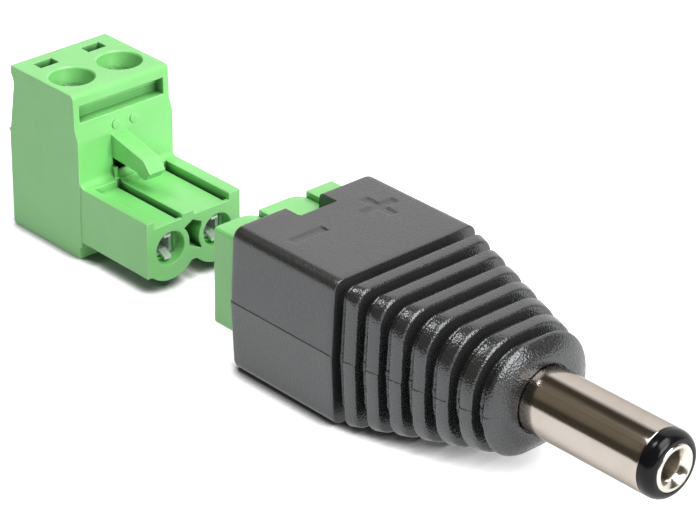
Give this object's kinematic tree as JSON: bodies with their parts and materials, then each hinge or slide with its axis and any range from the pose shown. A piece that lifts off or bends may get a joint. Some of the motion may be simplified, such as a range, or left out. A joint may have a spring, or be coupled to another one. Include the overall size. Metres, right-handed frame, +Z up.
{
  "type": "dc barrel plug",
  "caption": "Barrel power plug with a ribbed moulding round a green pin header, and the pluggable screw terminal drawn out behind it.",
  "frame": {"origin": "middle of the whole set, on the surface that both halves stand on", "axes": "+X from the screw terminal to the barrel's tip, +Z up"},
  "size_m": [0.072, 0.0156, 0.015],
  "materials": {
    "terminal_green": "satin moulded green plastic",
    "header_green": "satin moulded green plastic",
    "black_moulding": "black soft plastic with a fine leather grain",
    "nickel_plate": "bright nickel plate",
    "black_insulator": "smooth glossy black plastic",
    "centre_plate": "bright nickel plate",
    "tinned_strip": "tinned strip",
    "zinc_screw": "zinc-plated steel",
    "zinc_cage": "zinc-plated steel",
    "tinned_contact": "tinned copper alloy strip",
    "tinned_pin": "tinned copper alloy pin",
    "copper_core": "bare copper",
    "link_cover_minus": "black wire covering",
    "link_cover_plus": "red wire covering",
    "solder": "bright solder"
  },
  "bodies": {
    "halves": {"terminal_housing": "terminal_green", "header_housing": "header_green", "moulded_body": "black_moulding", "barrel_sleeve": "nickel_plate", "barrel_insulator": "black_insulator", "centre_contact": "centre_plate", "sleeve_solder_tag": "tinned_strip", "socket_contact_minus": "tinned_contact", "header_pin_minus": "tinned_pin", "link_core_minus": "copper_core", "link_cover_minus": "link_cover_minus", "solder_at_header_minus": "solder", "solder_at_barrel_minus": "solder", "socket_contact_plus": "tinned_contact", "header_pin_plus": "tinned_pin", "link_core_plus": "copper_core", "link_cover_plus": "link_cover_plus", "solder_at_header_plus": "solder", "solder_at_barrel_plus": "solder"},
    "screw_minus": {"clamp_screw_minus": "zinc_screw"},
    "cage_minus": {"clamp_cage_minus": "zinc_cage"},
    "screw_plus": {"clamp_screw_plus": "zinc_screw"},
    "cage_plus": {"clamp_cage_plus": "zinc_cage"}
  },
  "joints": [
    {"name": "screw_turn_minus", "type": "hinge", "parent": "halves", "child": "screw_minus", "pos_m": [-0.0303, -0.00254, 0.0136], "axis": [0, 0, 1], "range_deg": [-1800, 0]},
    {"name": "cage_rise_minus", "type": "slide", "parent": "halves", "child": "cage_minus", "axis": [0, 0, 1], "range_m": [0, 0.00225]},
    {"name": "screw_turn_plus", "type": "hinge", "parent": "halves", "child": "screw_plus", "pos_m": [-0.0303, 0.00254, 0.0136], "axis": [0, 0, 1], "range_deg": [-1800, 0]},
    {"name": "cage_rise_plus", "type": "slide", "parent": "halves", "child": "cage_plus", "axis": [0, 0, 1], "range_m": [0, 0.00225]}
  ],
  "couplings": [
    {"joint": "screw_turn_minus", "follows": "cage_rise_minus", "rad_per_m": -13962},
    {"joint": "screw_turn_plus", "follows": "cage_rise_plus", "rad_per_m": -13962}
  ]
}
